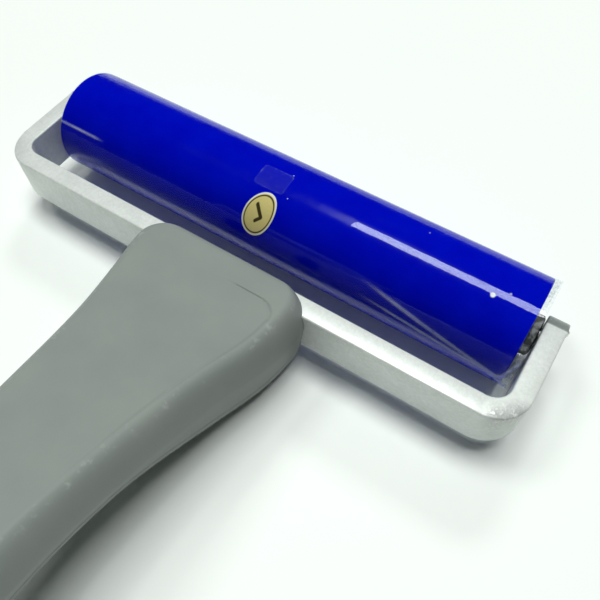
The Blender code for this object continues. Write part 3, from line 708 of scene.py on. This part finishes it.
def seam_height(behind):
    low = underside_height(behind)
    return low + SEAM_SHARE * (top_height(behind) - low)


def lip_drop(behind):
    """The top falls away in front of the panel, and round the nose's front edge."""
    from_front = behind + HANDLE_FRONT
    share = max(1.0 - from_front / (LIP_START + HANDLE_FRONT), 0.0)
    return LIP_DROP * share * share + corner_loss(from_front, NOSE_EDGE)


def tail_shrink(behind, power):
    """How much narrower a section gets in the round tail: 1 before it, down to 0 at its tip."""
    into = max(1.0 - (HANDLE_LENGTH - behind) / TAIL_CAP, 0.0)
    return (1.0 - into ** power) ** (1.0 / power)


def panel_relief(x, behind, panel):
    """Height of the top panel's fine moulded line and of the shallow panel inside it."""
    from_side = panel - PANEL_INSET - x
    from_front = behind - PANEL_FRONT
    corner = math.hypot(max(PANEL_CORNER - from_side, 0.0), max(PANEL_CORNER - from_front, 0.0))
    inside = PANEL_CORNER - corner
    if corner == 0.0:
        inside = min(from_side, from_front)
    shown = smooth_step(x, -2 * MM, 12 * MM) * (1.0 - smooth_step(behind, 40 * MM, 70 * MM))
    groove = GROOVE_DEPTH * math.exp(-(inside / GROOVE_WIDTH) ** 2)
    sink = PANEL_SINK * smooth_step(inside, -0.3 * MM, 0.5 * MM)
    return -shown * (groove + sink)


def upper_half(behind, side):
    """Points (x, z) of half a section of the upper shell, from the middle out to the seam."""
    top = top_height(behind)
    seam = seam_height(behind)
    widest = half_width(behind)
    panel = widest - SHOULDER
    crest = top - lip_drop(behind)
    level = top - WIDEST_DEPTH
    across = 60
    points = []
    for i in range(across):
        x = panel * i / across
        points.append((x, crest + panel_relief(side * x, behind, panel)))
    for cosine, sine in quarter_turn(18):
        points.append((panel + SHOULDER * sine, level + (crest - level) * cosine))
    for share in (0.25, 0.5, 0.75, 1.0):
        points.append((widest - SIDE_DRAFT * share, level + (seam + SEAM_GAP / 2 - level) * share))
    return points


def lower_half(behind, _side):
    """The same for the lower shell, whose two sides are alike."""
    seam = seam_height(behind)
    floor = underside_height(behind) + corner_loss(behind + HANDLE_FRONT, NOSE_EDGE)
    flat = half_width(behind) - SIDE_DRAFT - BELLY_ROUNDING
    points = [(flat * i / 10, floor) for i in range(10)]
    rise = seam - SEAM_GAP / 2 - floor
    for cosine, sine in quarter_turn(14):
        points.append((flat + BELLY_ROUNDING * sine, floor + rise * (1 - cosine)))
    return points


def handle_ring(behind, half_section):
    """A whole section from the half section's right and left sides."""
    y = BAR_Y - behind
    centre = (top_height(behind) + underside_height(behind)) / 2
    narrow, flatten = tail_shrink(behind, TAIL_SIDE_POWER), tail_shrink(behind, TAIL_TOP_POWER)
    ring = []
    for side in (1, -1):
        half = half_section(behind, side)
        points = [Vector((side * x * narrow, y, centre + (z - centre) * flatten)) for x, z in half]
        ring += points if side > 0 else points[:0:-1]
    return ring


def handle_places():
    """Distances behind the bar's outer face, close together where the shape changes fast."""
    nose = [-HANDLE_FRONT + NOSE_CORNER * share ** 2 for share in (i / 14 for i in range(14))]
    front = steps(NOSE_CORNER - HANDLE_FRONT, PANEL_FRONT + 2 * PANEL_CORNER, 0.3 * MM)
    body = steps(PANEL_FRONT + 2 * PANEL_CORNER, HANDLE_LENGTH - TAIL_CAP, 1.5 * MM)
    tail = [HANDLE_LENGTH - TAIL_CAP * (1.0 - i / 24) ** 2 for i in range(24)]
    return nose + front + body + tail + [HANDLE_LENGTH - 0.01 * MM]


def bar_slot(clearance=0.1 * MM):
    """The slot across the handle's nose that the bar lies in."""
    low = Vector((-ARM_OUTSIDE, BAR_Y - clearance, BAR_BOTTOM - clearance))
    high = Vector((ARM_OUTSIDE, BAR_Y + 2 * BAR_THICKNESS, BAR_TOP + clearance))
    rings = [[Vector((x, low.y, low.z)), Vector((x, high.y, low.z)), Vector((x, high.y, high.z)),
              Vector((x, low.y, high.z))] for x in (low.x, high.x)]
    return loft("bar_slot", rings, None)


def cover_screw_hole(name, node, clearance=0.3 * MM):
    """A counterbore from below for a cover screw, and the hole for its shank."""
    low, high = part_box(node)
    head = (high.x - low.x) / 2 + clearance
    seat = low.z + COVER_SCREW_SEAT
    shank = head / 2
    place = Vector(((low.x + high.x) / 2, (low.y + high.y) / 2, 0.0))
    profile = ((-1.0 * MM, head), (seat, head), (seat, shank), (high.z, shank))
    return turned(name, profile, place, (0, 0, 1))


def crease_share(point):
    """Up to 1 along the line where the flat top turns down into the sides."""
    behind = BAR_Y - point.y
    panel = half_width(behind) - SHOULDER
    away = (abs(point.x) - panel - CREASE_OUT) / CREASE_WIDTH
    above = smooth_step(point.z, top_height(behind) - WIDEST_DEPTH, top_height(behind) - SHOULDER)
    return above * math.exp(-away * away)


def build_handle(look):
    for part, half_section in (("upper", upper_half), ("lower", lower_half)):
        rings = [handle_ring(behind, half_section) for behind in handle_places()]
        shell = loft(f"{part}_shell", rings, look)
        cutters = [bar_slot()]
        if part == "lower":
            cutters += [cover_screw_hole(f"cover_hole_{i}", f"cover_screw_{i}") for i in range(1, 5)]
        cut(shell, cutters)
        paint(shell, "crease", [crease_share(vert.co) for vert in shell.data.vertices])
        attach(shell, "handle_frame")
        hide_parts(f"handle_{part}_shell")


# ---------------------------------------------------------------- roller

def on_roller(x, degrees, radius):
    """A point round the axle; the angle runs from +Y toward +Z."""
    angle = math.radians(degrees)
    return Vector((x, AXLE.y + radius * math.cos(angle), AXLE.z + radius * math.sin(angle)))


def degrees_round(point):
    """The angle at which on_roller puts a point."""
    return math.degrees(math.atan2(point.z - AXLE.z, point.y - AXLE.y)) % 360


def build_sleeve(look):
    """A tube with round edges, from its left end's bore to its right end's, and back through the bore."""
    core_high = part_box("core_tube")[1]
    inside = core_high.z - AXLE.z + 0.3 * MM
    end, edge = SLEEVE_HIGH.x, 0.4 * MM
    left = [(-end, inside)]
    for cosine, sine in quarter_turn(4):
        left.append((-end + edge * (1 - cosine), SLEEVE_SURFACE - edge * (1 - sine)))
    right = [(-x, radius) for x, radius in reversed(left)]
    count = 160
    rings = []
    for x, radius in left + right:
        rings.append([on_roller(x, 360 * i / count, radius) for i in range(count)])
    sleeve = loft("sleeve", rings, look, capped=False)
    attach(sleeve, "roller")
    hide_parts("silicone_sleeve")


def ridge(x, degrees, start, end, height, width):
    """Height of a fold at a point of the film; its line runs from start to end, as in FOLDS."""
    from_end = SLEEVE_HIGH.x - x
    run = Vector((end[0] - start[0], math.radians(end[1] - start[1]) * FILM_RADIUS))
    here = Vector((from_end - start[0], math.radians(degrees - start[1]) * FILM_RADIUS))
    share = here.dot(run) / run.length_squared
    if not -0.1 < share < 1.1:
        return 0.0
    aside = (here - run * share).length
    fade = smooth_step(share, -0.1, 0.3) * smooth_step(1.1 - share, 0.0, 0.2)
    return height * fade * math.exp(-(aside / width) ** 2)


def film_radius(x, degrees):
    """The film winds outward a little, has fine folds and is crumpled low at its right end."""
    radius = SLEEVE_SURFACE + FILM_GAP + FILM_WIND * ((degrees - FILM_SEAM) % 360) / 360
    angle = math.radians(degrees)
    seed = Vector((x / (22 * MM), 1.2 * math.cos(angle), 1.2 * math.sin(angle)))
    radius += FILM_WAVES * noise.noise(seed)
    for start, end, height, width in FOLDS:
        radius += ridge(x, degrees, start, end, height, width)
    loose = smooth_step(x, SLEEVE_HIGH.x - 1 * MM, FILM_HIGH.x)
    seed = Vector((x / (2.5 * MM), 7 * math.cos(angle), 7 * math.sin(angle)))
    return radius + CRUMPLE * loose * crumpled(degrees) * noise.noise(seed)


def crumpled(degrees):
    """Share of crumpling round the film's loose end: strongest low on the handle's side."""
    away = abs((degrees - CRUMPLE_MIDDLE + 180) % 360 - 180)
    return 1 - smooth_step(away, 15, 50)


def fold_share(x, degrees):
    """1 along the folds, where the film carries a painted pale blue reflection over a little clouding."""
    return min(sum(ridge(x, degrees, start, end, 1.0, width) for start, end, _, width in FOLDS), 1.0)


def loose_share(x, degrees):
    """How much of the film's crumpling shows: all of it low at the loose end, a little elsewhere there."""
    past = smooth_step(x, SLEEVE_HIGH.x - 0.2 * MM, SLEEVE_HIGH.x + 0.5 * MM)
    corner = smooth_step(x, SLEEVE_HIGH.x - 4.0 * MM, SLEEVE_HIGH.x) * crumpled(degrees)
    return max(past * (0.6 + 0.4 * crumpled(degrees)), 0.15 * corner)


def build_film(look):
    """A thin tube, in closer rings where it is folded and where it is crumpled."""
    longest_fold = FOLDS[0][0][0]
    folded, loose = SLEEVE_HIGH.x - longest_fold - 2 * MM, SLEEVE_HIGH.x - 6 * MM
    places = steps(FILM_LOW.x, folded, 2.0 * MM) + steps(folded, loose, 0.69 * MM)
    places += steps(loose, FILM_HIGH.x, 0.3 * MM) + [FILM_HIGH.x]
    half = FILM_THICKNESS / 2
    count = 360
    rings = []
    for x, offset in [(x, half) for x in places] + [(x, -half) for x in reversed(places)]:
        rings.append([on_roller(x, 360 * i / count, film_radius(x, 360 * i / count) + offset)
                      for i in range(count)])
    film = loft("film", rings, look, capped=False, sharp_degrees=60.0)
    one_side = len(places) * count
    spots = [(vert.co.x, degrees_round(vert.co)) for vert in film.data.vertices]
    paint(film, "outer", [1.0] * one_side + [0.0] * one_side)
    paint(film, "fold", [fold_share(*spot) for spot in spots])
    paint(film, "loose", [loose_share(*spot) for spot in spots])
    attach(film, "roller")
    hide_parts("protective_film")


# ---------------------------------------------------------------- labels on the film

def centre_on_roller(low, high):
    """A label's place from its box: x, and the angle round the axle in degrees."""
    middle = (low + high) / 2
    return middle.x, degrees_round(middle)


def on_film(place, across, arc, lift):
    """A point over the film: across runs along X and arc round the roller."""
    degrees = place[1] + math.degrees(arc / SLEEVE_RADIUS)
    x = place[0] + across
    return on_roller(x, degrees, film_radius(x, degrees) + LABEL_GAP + lift)


def build_label(name, place, thickness, shares, count, outline, look):
    """A label in rings from its middle to its edge on top, and back again underneath.

    outline gives the (across, arc) of a share of the way to the edge at a turn.  Each point's share and
    turn come back with the piece.
    """
    turns = [2 * math.pi * i / count for i in range(count)]
    layers = [(share, thickness) for share in shares] + [(share, 0.0) for share in reversed(shares)]
    rings = []
    for share, lift in layers:
        rings.append([on_film(place, *outline(share, turn), lift) for turn in turns])
    spots = [(share, turn) for share, _ in layers for turn in turns]
    return loft(name, rings, look), spots


def line_distance(point, start, end):
    """How far a point is from the line between two others."""
    run = end - start
    share = min(max((point - start).dot(run) / run.length_squared, 0.0), 1.0)
    return (point - start - run * share).length


def sticker_outline(share, turn):
    """A slanted oval."""
    arc = STICKER_HALF_LENGTH * share * math.sin(turn)
    return STICKER_HALF_WIDTH * share * math.cos(turn) + STICKER_SLANT * arc, arc


def sticker_ink(share, turn):
    """1 on the printed line round the oval and on the tick, 0 beside them."""
    point = share * Vector((-math.sin(turn), -math.cos(turn)))
    middle = (RIM_LINE[0] + RIM_LINE[1]) / 2
    half = (RIM_LINE[1] - RIM_LINE[0]) / 2
    ink = 1.0 - smooth_step(abs(share - middle), half, half + 0.03)
    corners = [Vector(corner) for corner in TICK]
    tick = min(line_distance(point, *ends) for ends in zip(corners, corners[1:]))
    return max(ink, 1.0 - smooth_step(tick, TICK_WIDTH, TICK_WIDTH + 0.03))


def build_sticker(look):
    place = centre_on_roller(STICKER_LOW, STICKER_HIGH)
    shares = [0.02 + 0.98 * i / 48 for i in range(49)]
    sticker, spots = build_label("sticker", place, LABEL_THICKNESS, shares, 120, sticker_outline, look)
    paint(sticker, "ink", [sticker_ink(*spot) for spot in spots])
    paint(sticker, "rim", [smooth_step(share, RIM_LINE[1], RIM_LINE[1] + 0.08) for share, _ in spots])
    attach(sticker, "roller")
    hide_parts("inspection_sticker")


def tape_outline(share, turn):
    """A rectangle with round corners."""
    cosine, sine = math.cos(turn), math.sin(turn)
    reach = share / (abs(cosine) ** 10 + abs(sine) ** 10) ** 0.1
    return (TAPE_HIGH.x - TAPE_LOW.x) / 2 * reach * cosine, TAPE_LENGTH / 2 * reach * sine


def build_tape(look):
    """The small piece of clear tape that holds the film's edge down."""
    place = centre_on_roller(TAPE_LOW, TAPE_HIGH)
    shares = [0.04 + 0.96 * i / 16 for i in range(17)]
    tape, spots = build_label("tape", place, LABEL_THICKNESS / 2, shares, 96, tape_outline, look)
    paint(tape, "edge", [smooth_step(share, 0.93, 0.99) for share, _ in spots])
    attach(tape, "roller")
    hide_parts("film_tape")


# ---------------------------------------------------------------- CAD nodes that stay

def break_edges(node):
    """Small bevels, so that a nut's edges catch the light."""
    bevel = node.modifiers.new("broken_edges", "BEVEL")
    bevel.width = 0.3 * MM
    bevel.segments = 3
    bevel.limit_method = "ANGLE"
    bevel.angle_limit = math.radians(25)


def finish_cad_nodes():
    steel = machined("bearing_steel", (0.56, 0.56, 0.58), 0.22)
    zinc = machined("zinc_steel", (0.62, 0.63, 0.64), 0.28)
    black = machined("blackened_steel", (0.014, 0.015, 0.015), 0.35, metallic=0.3)
    tube = machined("turned_aluminium", (0.62, 0.64, 0.64), 0.32)
    pressed = machined("pressed_steel", (0.5, 0.5, 0.5), 0.35)
    nylon = machined("cage_nylon", (0.75, 0.72, 0.6), 0.5, metallic=0.0)
    looks = {"axle_screw": zinc, "bracket_screw": zinc, "cover_screw": black, "hex_nut": black,
             "core_tube": tube, "_shield_": pressed, "_cage": nylon, "_ring": steel, "_ball_": steel}
    for name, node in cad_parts.items():
        for part, look in looks.items():
            if part in name:
                node.data.materials.clear()
                node.data.materials.append(look)
                if part == "hex_nut":
                    break_edges(node)


build_camera()
build_world()
build_floor()
build_lights()
bpy.context.scene.view_settings.view_transform = "Standard"
build_bracket(satin_aluminium())
build_handle(grey_plastic())
build_sleeve(blue_silicone())
build_film(clear_film())
build_sticker(gold_paper())
build_tape(clear_tape())
finish_cad_nodes()
